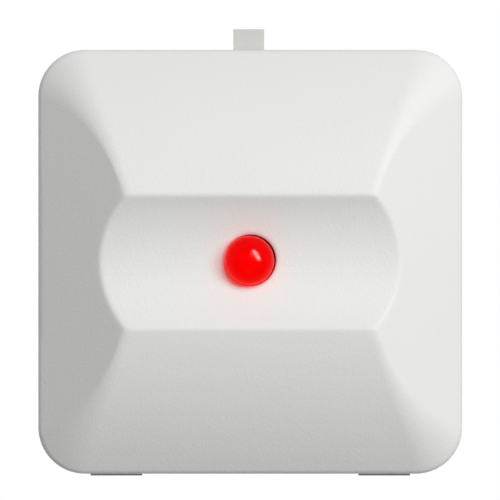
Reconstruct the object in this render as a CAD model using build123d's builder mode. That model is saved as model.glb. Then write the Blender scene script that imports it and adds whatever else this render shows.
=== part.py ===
"""Fire alarm relay module: a square wall housing with a red alarm dome and a relay inside.

Millimetres. X runs along the width, Z up, and the front faces -Y. The origin is the middle of
the base plate's rear face, which lies against the wall. A depth is a distance out from the wall,
so a sketch on Plane.XZ.offset(depth) is drawn in X and Z and grows towards the front.
"""

import os
from math import asin, atan2, cos, degrees, hypot, radians, sin, sqrt, tan

from build123d import *

os.makedirs("parts", exist_ok=True)

# Clearances
running_gap = 0.05
seat_gap = 0.1
loose_gap = 0.25
shell_gap = 0.5
pick_tolerance = 0.01

# Cover, seen from the front
cover_width = 82.0
cover_height = 82.0
cover_corner_r = 9.0
ridge_corner_r = 1.3
corner_taper = 1.7
dome_hole_x = 0.0
dome_shift = -0.15
dome_z = 0.3

# Cover, from the wall out
cover_wall = 2.0
cover_rear_depth = 0.4
rim_depth = 8.0
ridge_depth = 21.0
side_run = 17.1
channel_width = 25.5
channel_sag = 3.75
ridge_slope = 12.0
rim_fillet = 1.8
ridge_fillet_share = 0.35
loft_steps = 6
loft_overrun = 0.6

# Alarm dome and what holds it
dome_r = 4.75
dome_play = 0.2
dome_proud = 1.2
dome_flange_w = 1.1
dome_flange_t = 1.2
lens_wall = 1.2
boss_wall = 1.9
boss_depth = 12.9
retainer_t = 1.2
retainer_w = 1.8

# Base plate
plate_t = 2.0
plate_rim_t = 1.5
plate_rim_depth = 5.0
seat_pad_h = 0.6
seat_pad_w = 2.2

# Wall screws, spaced as on a 60 mm wall box
wall_screw_spacing = 60.0
wall_slot_length = 7.0
wall_slot_r = 2.1

# Cable entry in the base plate
entry_width = 24.0
entry_height = 11.0
entry_z = -22.0
entry_corner_r = 2.0
entry_collar_t = 1.2
entry_collar_h = 1.6

# Hinge lugs and bars along the bottom edge
lug_x = 26.0
lug_width = 10.0
lug_t = 1.5
lug_proud = 0.5
hinge_bar_r = 0.65
hinge_bar_inset = 0.1
window_side_gap = 0.6
window_front_gap = 0.8

# Release tab: an arm with the tab and the catch on it
tab_x = -0.3
tab_width = 6.0
tab_proud = 4.2
tab_t = 1.4
tab_depth = 0.6
tab_tip_r = 0.3
arm_root_x = -15.0
arm_t = 1.4
arm_top_gap = 2.0
arm_rear_depth = 0.5
arm_front_depth = 3.5
arm_travel_room = 2.2
arm_end_room = 1.5
catch_x = -7.8
catch_width = 4.6
catch_t = 0.9
catch_nose = 0.3
catch_recess = 0.9
notch_side_gap = 0.8
notch_front_gap = 0.6
socket_block_w = 3.2

# Circuit board
board_width = 50.0
board_bottom_z = -12.0
board_top_z = 30.0
board_t = 1.6
board_rear_depth = 4.0
board_corner_r = 1.5
board_hole_inset = 3.0
post_r = 2.6
board_screw_r = 1.05
board_screw_hole_r = 1.35
board_screw_head_r = 2.2
board_screw_head_t = 1.4
board_screw_length = 4.7
board_recess_length = 2.4
pilot_floor_t = 0.6
recess_w = 0.55
recess_deep = 0.6

# Terminal blocks
way_pitch = 3.5
block_end_wall = 0.4
block_z_size = 7.0
block_h = 8.5
block_z = -8.5
block_chamfer = 0.5
supply_ways = 2
supply_x = -13.0
output_ways = 3
output_x = 13.0
chamber_w = 2.7
chamber_z_size = 3.4
chamber_floor = 0.8
entry_way_w = 2.3
entry_way_h = 2.4
entry_way_floor = 1.45
clamp_w = 2.5
clamp_z_size = 2.6
clamp_t = 0.4
clamp_h = 4.0
clamp_floor = 1.0
clamp_side_t = 0.35
clamp_travel = 1.8
terminal_screw_r = 0.75
terminal_head_r = 1.15
terminal_head_t = 0.95
driver_hole_r = 1.25
bar_w = 1.6
bar_t = 0.4
bar_h = 4.0
bar_inset = 0.2
leg_t = 0.5
leg_z = 2.4
leg_w = 0.9
pin_stick_out = 1.0

# Relay
relay_x = -11.0
relay_z = 14.2
relay_length = 20.0
relay_width = 10.0
relay_h = 10.2
relay_case_wall = 0.6
relay_base_t = 2.2
relay_pin_w = 0.9
relay_pin_t = 0.4
relay_pin_inset = 1.4
coil_axis_h = 5.9
yoke_start = 1.1
yoke_t = 0.9
yoke_w = 6.4
yoke_top_h = 8.8
bobbin_length = 13.6
bobbin_flange_w = 7.2
bobbin_flange_h = 5.2
bobbin_flange_t = 0.7
bobbin_wall = 0.5
winding_r = 2.5
core_r = 1.2
pole_r = 1.7
pole_t = 0.4
pole_gap = 0.35
armature_t = 0.8
armature_w = 6.0
armature_top_h = 7.9
armature_swing = 3.4
blade_t = 0.2
blade_w = 2.4
blade_foot_h = 4.0
contact_h = 8.6
contact_r = 0.6
contact_t = 0.35
contact_post_t = 0.45
contact_leg_z = 3.85
contact_leg_w = 0.8

# Small electronics
lead_r = 0.3
lead_hole_r = 0.4
pin_hole_r = 0.6
led_lead_spacing = 2.54
led_r = 1.5
led_flange_r = 1.9
led_flange_t = 1.0
led_h = 5.3
resistor_r = 1.15
resistor_length = 6.3
resistor_waist_r = 0.95
resistor_cap_length = 1.5
resistor_round = 0.15
lead_span = 10.0
lead_bend_r = 0.7
part_lift = 0.2
resistor_x = 12.0
resistor_z = (27.0, 23.6, 20.2)
diode_r = 1.35
diode_length = 5.2
diode_chamfer = 0.2
diode_x = -11.0
diode_z = 23.5
transistor_r = 2.3
transistor_flat = 1.3
transistor_h = 4.6
transistor_lift = 1.6
transistor_x = 4.6
transistor_z = 12.5
transistor_pitch = 1.27
capacitor_r = 3.15
capacitor_h = 7.0
capacitor_x = 15.0
capacitor_z = 11.5
capacitor_round = 0.25
capacitor_groove = 0.25
capacitor_groove_w = 0.5
capacitor_groove_h = 1.0
capacitor_lead_spacing = 2.5

# Sizes that follow from the ones above
half_width = cover_width / 2
half_height = cover_height / 2
rise = ridge_depth - rim_depth
crown_run = half_height - channel_width / 2
side_angle = atan2(rise, side_run)
crown_chord = hypot(crown_run, rise)
crown_half_angle = atan2(rise, crown_run) - radians(ridge_slope)
crown_r = crown_chord / (2 * sin(crown_half_angle))
crown_start = atan2(rise, crown_run) + crown_half_angle
ridge_fillet = ridge_fillet_share * ridge_corner_r
channel_r = ((channel_width / 2) ** 2 + channel_sag**2) / (2 * channel_sag)
channel_floor_depth = ridge_depth - channel_sag
channel_axis_depth = channel_floor_depth + channel_r

dome_x = dome_hole_x + dome_shift
dome_hole_r = dome_r + dome_play
flange_r = dome_r + dome_flange_w
flange_seat_depth = boss_depth + retainer_t + dome_flange_t
dome_bore_r = flange_r + dome_play
boss_r = dome_bore_r + boss_wall
dome_centre_depth = channel_floor_depth + dome_proud
lens_inside_r = dome_r - lens_wall

plate_width = cover_width - 2 * (cover_wall + shell_gap)
plate_height = cover_height - 2 * (cover_wall + shell_gap)
plate_corner_r = cover_corner_r - cover_wall - shell_gap
collar_width = entry_width + 2 * entry_collar_t
collar_height = entry_height + 2 * entry_collar_t
collar_corner_r = entry_corner_r + entry_collar_t
hinge_depth = cover_rear_depth + hinge_bar_r
hinge_z = -(half_height - hinge_bar_r - hinge_bar_inset)
lug_rear_depth = hinge_depth + hinge_bar_r + loose_gap
lug_front_depth = lug_rear_depth + lug_t
lug_bottom_z = -(half_height + lug_proud)
lug_height = plate_rim_t - plate_height / 2 - lug_bottom_z
window_front_depth = lug_front_depth + window_front_gap
window_width = lug_width + 2 * window_side_gap

cover_top_inside_z = half_height - cover_wall
arm_top_z = cover_top_inside_z - arm_top_gap
arm_z = arm_top_z - arm_t / 2
arm_end_x = tab_x + tab_width / 2
arm_length = arm_end_x - arm_root_x
arm_swing = degrees(asin((arm_travel_room - shell_gap) / arm_length))
slot_floor_z = arm_z - arm_t / 2 - arm_travel_room
slot_height = plate_height / 2 - slot_floor_z
slot_width = arm_length + arm_end_room
catch_top_z = cover_top_inside_z - loose_gap
catch_rear_depth = arm_front_depth - catch_t
tab_top_z = half_height + tab_proud
tab_front_depth = tab_depth + tab_t

board_front_depth = board_rear_depth + board_t
board_height = board_top_z - board_bottom_z
board_mid_z = (board_top_z + board_bottom_z) / 2
board_hole_dx = board_width - 2 * board_hole_inset
board_hole_dz = board_height - 2 * board_hole_inset
lead_end_depth = board_rear_depth - pin_stick_out

blocks = (("supply", supply_x, supply_ways), ("output", output_x, output_ways))
way_x = [x + (n - (ways - 1) / 2) * way_pitch for _, x, ways in blocks for n in range(ways)]
terminal_head_h = clamp_floor + clamp_h + clamp_travel + seat_gap
chamber_top = terminal_head_h + seat_gap
block_front_z = block_z - block_z_size / 2
chamber_front_z = block_z - chamber_z_size / 2
pin_leg_z = block_z + leg_z

relay_left = relay_x - relay_length / 2
relay_inside_length = relay_length - 2 * relay_case_wall
relay_inside_width = relay_width - 2 * relay_case_wall
yoke_x = relay_left + yoke_start
bobbin_x = yoke_x + yoke_t + running_gap
bobbin_end_x = bobbin_x + bobbin_length
pole_x = bobbin_end_x + running_gap
armature_x = pole_x + pole_t + pole_gap
blade_x = armature_x + armature_t
foot_top_h = relay_base_t + seat_gap + yoke_t
contact_swing = (contact_h - relay_base_t - seat_gap) * tan(radians(armature_swing))
open_contact_x = armature_x + armature_t - contact_t - contact_swing - running_gap
closed_contact_x = blade_x + blade_t + contact_t + running_gap
relay_pins_xz = (
    (relay_left + relay_pin_inset, relay_z - relay_width / 2 + relay_pin_inset),
    (relay_left + relay_pin_inset, relay_z + relay_width / 2 - relay_pin_inset),
    (open_contact_x - contact_post_t / 2, relay_z + relay_width / 2 - relay_pin_inset),
    (closed_contact_x + contact_post_t / 2, relay_z),
    (bobbin_x + bobbin_length / 2, relay_z),
)
resistor_depth = board_front_depth + part_lift + resistor_r
diode_depth = board_front_depth + part_lift + diode_r
lead_pairs = [(resistor_x, z) for z in resistor_z] + [(diode_x, diode_z)]
lead_holes = [(x + s * lead_span / 2, z) for x, z in lead_pairs for s in (-1, 1)]
straight_leads = [(dome_hole_x + s * led_lead_spacing / 2, dome_z) for s in (-1, 1)]
straight_leads += [(transistor_x + s * transistor_pitch, transistor_z) for s in (-1, 0, 1)]
capacitor_leads = [(capacitor_x + s * capacitor_lead_spacing / 2, capacitor_z) for s in (-1, 1)]


def crown_inset(level, skin):
    """How far in from the edge the top and bottom faces are, at a level above the rim."""
    across = crown_r * sin(crown_start)
    down = level + crown_r * cos(crown_start)
    return across - sqrt((crown_r - skin) ** 2 - down**2)


def side_inset(level, skin):
    """How far in from the edge the left and right faces are, at a level above the rim."""
    return level / tan(side_angle) + skin / sin(side_angle)


def corner_radius(level, skin):
    """The corners sharpen from the rim to the ridges."""
    left = max(0.0, 1 - max(0.0, level) / rise)
    outer = ridge_corner_r + (cover_corner_r - ridge_corner_r) * left**corner_taper
    return max(outer - skin, ridge_corner_r / 2)


def cover_form(skin):
    """The cover's outer form, or for a skin the same form that much further in."""
    first_level = -skin * (1 - sin(side_angle)) / cos(side_angle)
    last_level = rise - skin + loft_overrun
    with BuildPart() as form:
        with BuildSketch(Plane.XZ.offset(cover_rear_depth)):
            rim_r = cover_corner_r - skin
            RectangleRounded(cover_width - 2 * skin, cover_height - 2 * skin, rim_r)
        extrude(amount=rim_depth + first_level - cover_rear_depth)
        for step in range(loft_steps + 1):
            level = first_level + (last_level - first_level) * step / loft_steps
            # the first section is the rim's own outline
            side_in = crown_in = skin
            if step > 0:
                side_in = max(side_inset(level, skin), skin)
                crown_in = max(crown_inset(level, skin), skin)
            across = cover_width - 2 * side_in
            up = cover_height - 2 * crown_in
            with BuildSketch(Plane.XZ.offset(rim_depth + level)):
                RectangleRounded(across, up, corner_radius(level, skin))
        loft()
        with BuildSketch(Plane.YZ):
            with Locations((-channel_axis_depth, 0)):
                Circle(channel_r + skin)
        extrude(amount=half_width, both=True, mode=Mode.SUBTRACT)
    return form.part


# Cover
with BuildPart() as cover:
    add(cover_form(0))
    channel_face = cover.faces().filter_by(GeomType.CYLINDER).sort_by(SortBy.AREA)[-1]
    fillet(channel_face.edges(), ridge_fillet)
    rim_low_y = -rim_depth - pick_tolerance
    rim_high_y = -rim_depth + pick_tolerance
    rim_edges = cover.edges().filter_by_position(Axis.Y, rim_low_y, rim_high_y)
    fillet(rim_edges, rim_fillet)
    add(cover_form(cover_wall), mode=Mode.SUBTRACT)
    # the boss that the dome sits in
    with BuildSketch(Plane.XZ.offset(boss_depth)):
        with Locations((dome_hole_x, dome_z)):
            Circle(boss_r)
    extrude(amount=channel_floor_depth - cover_wall / 2 - boss_depth)
    with BuildSketch(Plane.XZ.offset(boss_depth)):
        with Locations((dome_hole_x, dome_z)):
            Circle(dome_bore_r)
    extrude(amount=flange_seat_depth - boss_depth, mode=Mode.SUBTRACT)
    with BuildSketch(Plane.XZ.offset(flange_seat_depth)):
        with Locations((dome_hole_x, dome_z)):
            Circle(dome_hole_r)
    extrude(amount=ridge_depth - flange_seat_depth, mode=Mode.SUBTRACT)
    # windows for the lugs, each with its hinge bar
    with BuildSketch(Plane.XZ.offset(cover_rear_depth)):
        with Locations((-lug_x, -half_height), (lug_x, -half_height)):
            Rectangle(window_width, 2 * cover_wall)
    extrude(amount=window_front_depth - cover_rear_depth, mode=Mode.SUBTRACT)
    for side in (-1, 1):
        with BuildSketch(Plane.YZ.offset(side * lug_x)):
            with Locations((-hinge_depth, hinge_z)):
                Circle(hinge_bar_r)
        extrude(amount=window_width / 2 + cover_wall / 2, both=True)
    # the notch that the tab stands in, and the pocket over its catch
    with BuildSketch(Plane.XZ.offset(cover_rear_depth)):
        with Locations((tab_x, half_height)):
            Rectangle(tab_width + 2 * notch_side_gap, 2 * cover_wall)
    extrude(amount=tab_front_depth + notch_front_gap - cover_rear_depth, mode=Mode.SUBTRACT)
    with BuildSketch(Plane.XZ.offset(catch_rear_depth - loose_gap)):
        with Locations((catch_x, cover_top_inside_z)):
            Rectangle(catch_width + 2 * loose_gap, 2 * catch_recess)
    extrude(amount=catch_t + 2 * loose_gap, mode=Mode.SUBTRACT)
cover.part.label = "cover"
export_step(cover.part, "parts/cover.step")

# Alarm dome, a hollow moulding that stands a little to the left in its hole
with BuildPart() as indicator_lens:
    with BuildSketch(Plane.XZ.offset(flange_seat_depth - dome_flange_t)):
        with Locations((dome_x, dome_z)):
            Circle(flange_r)
    extrude(amount=dome_flange_t)
    with BuildSketch(Plane.XZ.offset(flange_seat_depth)):
        with Locations((dome_x, dome_z)):
            Circle(dome_r)
    extrude(amount=dome_centre_depth - flange_seat_depth)
    with Locations(Plane.XZ.offset(dome_centre_depth).location * Location((dome_x, dome_z, 0))):
        front_half = {"arc_size1": 0, "align": (Align.CENTER, Align.CENTER, Align.MIN)}
        Sphere(dome_r, **front_half)
        Sphere(lens_inside_r, **front_half, mode=Mode.SUBTRACT)
    with BuildSketch(Plane.XZ.offset(flange_seat_depth - dome_flange_t)):
        with Locations((dome_x, dome_z)):
            Circle(lens_inside_r)
    extrude(amount=dome_centre_depth - flange_seat_depth + dome_flange_t, mode=Mode.SUBTRACT)
indicator_lens.part.label = "indicator_lens"
export_step(indicator_lens.part, "parts/indicator_lens.step")

# Ring that holds the dome from behind
with BuildPart() as lens_retaining_ring:
    with BuildSketch(Plane.XZ.offset(boss_depth)):
        with Locations((dome_hole_x, dome_z)):
            Circle(dome_bore_r - running_gap)
            Circle(dome_bore_r - retainer_w, mode=Mode.SUBTRACT)
    extrude(amount=retainer_t)
lens_retaining_ring.part.label = "lens_retaining_ring"
export_step(lens_retaining_ring.part, "parts/lens_retaining_ring.step")

# Base plate
with BuildPart() as base_plate:
    with BuildSketch(Plane.XZ):
        RectangleRounded(plate_width, plate_height, plate_corner_r)
    extrude(amount=plate_t)
    with BuildSketch(Plane.XZ.offset(plate_t)):
        RectangleRounded(plate_width, plate_height, plate_corner_r)
        offset(amount=-plate_rim_t, mode=Mode.SUBTRACT)
    extrude(amount=plate_rim_depth - plate_t)
    # posts for the board, and seats for the wall screws
    with BuildSketch(Plane.XZ.offset(plate_t)):
        with Locations((0, board_mid_z)):
            with GridLocations(board_hole_dx, board_hole_dz, 2, 2):
                Circle(post_r)
    extrude(amount=board_rear_depth - plate_t)
    with BuildSketch(Plane.XZ.offset(plate_t)):
        with GridLocations(wall_screw_spacing, 0, 2, 1):
            SlotOverall(wall_slot_length + 2 * seat_pad_w, 2 * (wall_slot_r + seat_pad_w))
    extrude(amount=seat_pad_h)
    # collar round the cable entry
    with BuildSketch(Plane.XZ.offset(plate_t)):
        with Locations((0, entry_z)):
            RectangleRounded(collar_width, collar_height, collar_corner_r)
    extrude(amount=entry_collar_h)
    # lugs, which pass in front of the cover's hinge bars
    with BuildSketch(Plane.XZ.offset(lug_rear_depth)):
        with Locations((-lug_x, lug_bottom_z), (lug_x, lug_bottom_z)):
            Rectangle(lug_width, lug_height, align=(Align.CENTER, Align.MIN))
    extrude(amount=lug_t)
    # block with the socket for the release arm's root
    with BuildSketch(Plane.XZ.offset(plate_t)):
        with Locations((arm_root_x, slot_floor_z)):
            Rectangle(socket_block_w, slot_height, align=(Align.MAX, Align.MIN))
    extrude(amount=arm_front_depth + seat_gap - plate_t)
    with BuildSketch(Plane.XZ):
        with Locations((arm_root_x, slot_floor_z)):
            Rectangle(slot_width, slot_height, align=(Align.MIN, Align.MIN))
        with Locations((arm_root_x, arm_z)):
            Circle(arm_t / 2 + running_gap)
        with Locations((0, entry_z)):
            RectangleRounded(entry_width, entry_height, entry_corner_r)
        with GridLocations(wall_screw_spacing, 0, 2, 1):
            SlotOverall(wall_slot_length, 2 * wall_slot_r)
    extrude(amount=plate_rim_depth, mode=Mode.SUBTRACT)
    # pilot holes for the board's screws
    with BuildSketch(Plane.XZ.offset(pilot_floor_t)):
        with Locations((0, board_mid_z)):
            with GridLocations(board_hole_dx, board_hole_dz, 2, 2):
                Circle(board_screw_r + running_gap)
    extrude(amount=board_rear_depth - pilot_floor_t, mode=Mode.SUBTRACT)
base_plate.part.label = "base_plate"
export_step(base_plate.part, "parts/base_plate.step")

# Release tab
with BuildPart() as release_tab:
    with BuildSketch(Plane.XZ.offset(arm_rear_depth)):
        with Locations((arm_root_x, arm_z)):
            Circle(arm_t / 2)
            Rectangle(arm_length, arm_t, align=(Align.MIN, Align.CENTER))
    extrude(amount=arm_front_depth - arm_rear_depth)
    with BuildSketch(Plane.XZ.offset(tab_depth)):
        with Locations((tab_x, arm_z)):
            Rectangle(tab_width, tab_top_z - arm_z, align=(Align.CENTER, Align.MIN))
    extrude(amount=tab_t)
    fillet(release_tab.edges().filter_by(Axis.X).group_by(Axis.Z)[-1], tab_tip_r)
    # catch, sloped in front so that the cover rides over it when it closes
    with BuildSketch(Plane.YZ.offset(catch_x)):
        with BuildLine():
            Polyline(
                (-catch_rear_depth, arm_z),
                (-catch_rear_depth, catch_top_z),
                (-catch_rear_depth - catch_nose, catch_top_z),
                (-arm_front_depth, arm_top_z),
                (-arm_front_depth, arm_z),
                close=True,
            )
        make_face()
    extrude(amount=catch_width / 2, both=True)
release_tab.part.label = "release_tab"
export_step(release_tab.part, "parts/release_tab.step")

# Circuit board, drilled for its screws and for every lead and pin
with BuildPart() as circuit_board:
    with BuildSketch(Plane.XZ.offset(board_rear_depth)):
        with Locations((0, board_mid_z)):
            RectangleRounded(board_width, board_height, board_corner_r)
            with GridLocations(board_hole_dx, board_hole_dz, 2, 2):
                Circle(board_screw_hole_r, mode=Mode.SUBTRACT)
        with Locations(*[(x, pin_leg_z) for x in way_x], *relay_pins_xz):
            Circle(pin_hole_r, mode=Mode.SUBTRACT)
        with Locations(*lead_holes, *straight_leads, *capacitor_leads):
            Circle(lead_hole_r, mode=Mode.SUBTRACT)
    extrude(amount=board_t)
circuit_board.part.label = "circuit_board"
export_step(circuit_board.part, "parts/circuit_board.step")

# Screws that hold the board on its posts
with BuildPart() as board_screws:
    with BuildSketch(Plane.XZ.offset(board_front_depth - board_screw_length)):
        with Locations((0, board_mid_z)):
            with GridLocations(board_hole_dx, board_hole_dz, 2, 2):
                Circle(board_screw_r)
    extrude(amount=board_screw_length)
    with BuildSketch(Plane.XZ.offset(board_front_depth)):
        with Locations((0, board_mid_z)):
            with GridLocations(board_hole_dx, board_hole_dz, 2, 2):
                Circle(board_screw_head_r)
    extrude(amount=board_screw_head_t)
    head_rims = board_screws.faces().group_by(Axis.Y)[0].edges()
    fillet(head_rims, board_screw_head_t / 2)
    with BuildSketch(Plane.XZ.offset(board_front_depth + board_screw_head_t - recess_deep)):
        with Locations((0, board_mid_z)):
            with GridLocations(board_hole_dx, board_hole_dz, 2, 2):
                Rectangle(board_recess_length, recess_w)
                Rectangle(recess_w, board_recess_length)
    extrude(amount=recess_deep, mode=Mode.SUBTRACT)
board_screws.part.label = "board_screws"
export_step(board_screws.part, "parts/board_screws.step")

# Terminal block housings
for block_name, block_x, ways in blocks:
    block_width = ways * way_pitch + 2 * block_end_wall
    with BuildPart() as terminal_block:
        with BuildSketch(Plane.XZ.offset(board_front_depth)):
            with Locations((block_x, block_z)):
                Rectangle(block_width, block_z_size)
        extrude(amount=block_h)
        top_edges = terminal_block.faces().sort_by(Axis.Y)[0].edges().filter_by(Axis.X)
        chamfer(top_edges, block_chamfer)
        # a chamber for each clamp, with the driver's hole in front of it
        with BuildSketch(Plane.XZ.offset(board_front_depth + chamber_floor)):
            with Locations((block_x, block_z)):
                with GridLocations(way_pitch, 0, ways, 1):
                    Rectangle(chamber_w, chamber_z_size)
        extrude(amount=chamber_top - chamber_floor, mode=Mode.SUBTRACT)
        with BuildSketch(Plane.XZ.offset(board_front_depth + chamber_top)):
            with Locations((block_x, block_z)):
                with GridLocations(way_pitch, 0, ways, 1):
                    Circle(driver_hole_r)
        extrude(amount=block_h - chamber_top, mode=Mode.SUBTRACT)
        # the wires come in from below
        with BuildSketch(Plane.XY.offset(block_front_z)):
            entry_y = -(board_front_depth + entry_way_floor + entry_way_h / 2)
            with Locations((block_x, entry_y)):
                with GridLocations(way_pitch, 0, ways, 1):
                    Rectangle(entry_way_w, entry_way_h)
        extrude(amount=chamber_front_z - block_front_z, mode=Mode.SUBTRACT)
        # a slot behind each chamber for its pin
        with BuildSketch(Plane.XZ.offset(board_front_depth)):
            slot_end = leg_z + leg_t / 2 + running_gap
            with Locations((block_x, block_z + slot_end / 2)):
                with GridLocations(way_pitch, 0, ways, 1):
                    Rectangle(bar_w + 2 * running_gap, slot_end)
        extrude(amount=bar_h + bar_t + running_gap, mode=Mode.SUBTRACT)
    terminal_block.part.label = f"{block_name}_terminal_block"
    export_step(terminal_block.part, f"parts/{block_name}_terminal_block.step")

# Terminal screws and the clamps that rise on them
for number, x in enumerate(way_x, 1):
    with BuildPart() as terminal_screw:
        with BuildSketch(Plane.XZ.offset(board_front_depth + bar_h + bar_t + running_gap)):
            with Locations((x, block_z)):
                Circle(terminal_screw_r)
        extrude(amount=terminal_head_h - bar_h - bar_t - running_gap)
        with BuildSketch(Plane.XZ.offset(board_front_depth + terminal_head_h)):
            with Locations((x, block_z)):
                Circle(terminal_head_r)
        extrude(amount=terminal_head_t)
        head_top_depth = board_front_depth + terminal_head_h + terminal_head_t
        with BuildSketch(Plane.XZ.offset(head_top_depth - recess_deep)):
            with Locations((x, block_z)):
                Rectangle(2 * terminal_head_r, recess_w)
        extrude(amount=recess_deep, mode=Mode.SUBTRACT)
    terminal_screw.part.label = f"terminal_screw_{number}"
    export_step(terminal_screw.part, f"parts/terminal_screw_{number}.step")

    with BuildPart() as wire_clamp:
        with BuildSketch(Plane.XZ.offset(board_front_depth + clamp_floor)):
            with Locations((x, block_z)):
                Rectangle(clamp_w, clamp_z_size)
        extrude(amount=clamp_h)
        with BuildSketch(Plane.XZ.offset(board_front_depth + clamp_floor + clamp_t)):
            with Locations((x, block_z)):
                Rectangle(clamp_w - 2 * clamp_side_t, clamp_z_size)
        extrude(amount=clamp_h - 2 * clamp_t, mode=Mode.SUBTRACT)
        with BuildSketch(Plane.XZ.offset(board_front_depth + clamp_floor + clamp_h - clamp_t)):
            with Locations((x, block_z)):
                Circle(terminal_screw_r + running_gap)
        extrude(amount=clamp_t, mode=Mode.SUBTRACT)
    wire_clamp.part.label = f"wire_clamp_{number}"
    export_step(wire_clamp.part, f"parts/wire_clamp_{number}.step")

# Terminal pins: a bar through each clamp, with a leg down through the board
with BuildPart() as terminal_pins:
    with BuildSketch(Plane.XZ.offset(board_front_depth + bar_h)):
        for x in way_x:
            with Locations((x, block_z - clamp_z_size / 2 + bar_inset)):
                bar_length = clamp_z_size / 2 - bar_inset + leg_z + leg_t / 2
                Rectangle(bar_w, bar_length, align=(Align.CENTER, Align.MIN))
    extrude(amount=bar_t)
    with BuildSketch(Plane.XZ.offset(lead_end_depth)):
        with Locations(*[(x, pin_leg_z) for x in way_x]):
            Rectangle(leg_w, leg_t)
    extrude(amount=board_front_depth + bar_h - lead_end_depth)
terminal_pins.part.label = "terminal_pins"
export_step(terminal_pins.part, "parts/terminal_pins.step")

# Relay base and case
with BuildPart() as relay_base:
    with BuildSketch(Plane.XZ.offset(board_front_depth)):
        with Locations((relay_x, relay_z)):
            Rectangle(
                relay_inside_length - 2 * running_gap, relay_inside_width - 2 * running_gap
            )
    extrude(amount=relay_base_t)
relay_base.part.label = "relay_base"
export_step(relay_base.part, "parts/relay_base.step")

with BuildPart() as relay_case:
    with BuildSketch(Plane.XZ.offset(board_front_depth)):
        with Locations((relay_x, relay_z)):
            Rectangle(relay_length, relay_width)
    extrude(amount=relay_h)
    fillet(relay_case.edges().filter_by(Axis.Y), relay_case_wall)
    fillet(relay_case.faces().sort_by(Axis.Y)[0].edges(), relay_case_wall / 2)
    with BuildSketch(Plane.XZ.offset(board_front_depth)):
        with Locations((relay_x, relay_z)):
            Rectangle(relay_inside_length, relay_inside_width)
    extrude(amount=relay_h - relay_case_wall, mode=Mode.SUBTRACT)
relay_case.part.label = "relay_case"
export_step(relay_case.part, "parts/relay_case.step")

# Relay coil: yoke, core, bobbin and winding
with BuildPart() as relay_yoke:
    foot_low_y = -(board_front_depth + relay_base_t + seat_gap)
    foot_top_y = -(board_front_depth + foot_top_h)
    with BuildSketch(Plane.XY.offset(relay_z)):
        with BuildLine():
            Polyline(
                (yoke_x, foot_low_y),
                (pole_x + pole_t, foot_low_y),
                (pole_x + pole_t, foot_top_y),
                (yoke_x + yoke_t, foot_top_y),
                (yoke_x + yoke_t, -(board_front_depth + yoke_top_h)),
                (yoke_x, -(board_front_depth + yoke_top_h)),
                close=True,
            )
        make_face()
    extrude(amount=yoke_w / 2, both=True)
relay_yoke.part.label = "relay_yoke"
export_step(relay_yoke.part, "parts/relay_yoke.step")

coil_y = -(board_front_depth + coil_axis_h)
with BuildPart() as relay_core:
    with BuildSketch(Plane.YZ.offset(yoke_x + yoke_t)):
        with Locations((coil_y, relay_z)):
            Circle(core_r)
    extrude(amount=pole_x - yoke_x - yoke_t)
    with BuildSketch(Plane.YZ.offset(pole_x)):
        with Locations((coil_y, relay_z)):
            Circle(pole_r)
    extrude(amount=pole_t)
relay_core.part.label = "relay_core"
export_step(relay_core.part, "parts/relay_core.step")

with BuildPart() as relay_bobbin:
    bobbin_tube_r = core_r + running_gap + bobbin_wall
    with BuildSketch(Plane.YZ.offset(bobbin_x)):
        with Locations((coil_y, relay_z)):
            Circle(bobbin_tube_r)
    extrude(amount=bobbin_length)
    for flange_x in (bobbin_x, bobbin_end_x - bobbin_flange_t):
        with BuildSketch(Plane.YZ.offset(flange_x)):
            with Locations((coil_y, relay_z)):
                Rectangle(bobbin_flange_h, bobbin_flange_w)
        extrude(amount=bobbin_flange_t)
    with BuildSketch(Plane.YZ.offset(bobbin_x)):
        with Locations((coil_y, relay_z)):
            Circle(core_r + running_gap)
    extrude(amount=bobbin_length, mode=Mode.SUBTRACT)
relay_bobbin.part.label = "relay_bobbin"
export_step(relay_bobbin.part, "parts/relay_bobbin.step")

with BuildPart() as relay_winding:
    with BuildSketch(Plane.YZ.offset(bobbin_x + bobbin_flange_t)):
        with Locations((coil_y, relay_z)):
            Circle(winding_r)
            Circle(bobbin_tube_r, mode=Mode.SUBTRACT)
    extrude(amount=bobbin_length - 2 * bobbin_flange_t)
relay_winding.part.label = "relay_winding"
export_step(relay_winding.part, "parts/relay_winding.step")

# Relay armature, and the contact spring that rides on it
armature_foot_h = relay_base_t + seat_gap
with BuildPart() as relay_armature:
    with BuildSketch(Plane.XZ.offset(board_front_depth + armature_foot_h)):
        with Locations((armature_x, relay_z)):
            Rectangle(armature_t, armature_w, align=(Align.MIN, Align.CENTER))
    extrude(amount=armature_top_h - armature_foot_h)
relay_armature.part.label = "relay_armature"
export_step(relay_armature.part, "parts/relay_armature.step")

with BuildPart() as relay_contact_spring:
    with BuildSketch(Plane.XZ.offset(board_front_depth + blade_foot_h)):
        with Locations((blade_x, relay_z)):
            Rectangle(blade_t, blade_w, align=(Align.MIN, Align.CENTER))
    extrude(amount=contact_h + contact_r - blade_foot_h)
    with BuildSketch(Plane.YZ.offset(blade_x - contact_t)):
        with Locations((-(board_front_depth + contact_h), relay_z)):
            Circle(contact_r)
    extrude(amount=2 * contact_t + blade_t)
relay_contact_spring.part.label = "relay_contact_spring"
export_step(relay_contact_spring.part, "parts/relay_contact_spring.step")

# Fixed contacts: the closed one stands behind the blade, the open one reaches in from the side
with BuildPart() as relay_closed_contact:
    with BuildSketch(Plane.XZ.offset(board_front_depth + relay_base_t)):
        with Locations((closed_contact_x, relay_z)):
            Rectangle(contact_post_t, blade_w, align=(Align.MIN, Align.CENTER))
    extrude(amount=contact_h + contact_r - relay_base_t)
relay_closed_contact.part.label = "relay_closed_contact"
export_step(relay_closed_contact.part, "parts/relay_closed_contact.step")

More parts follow.
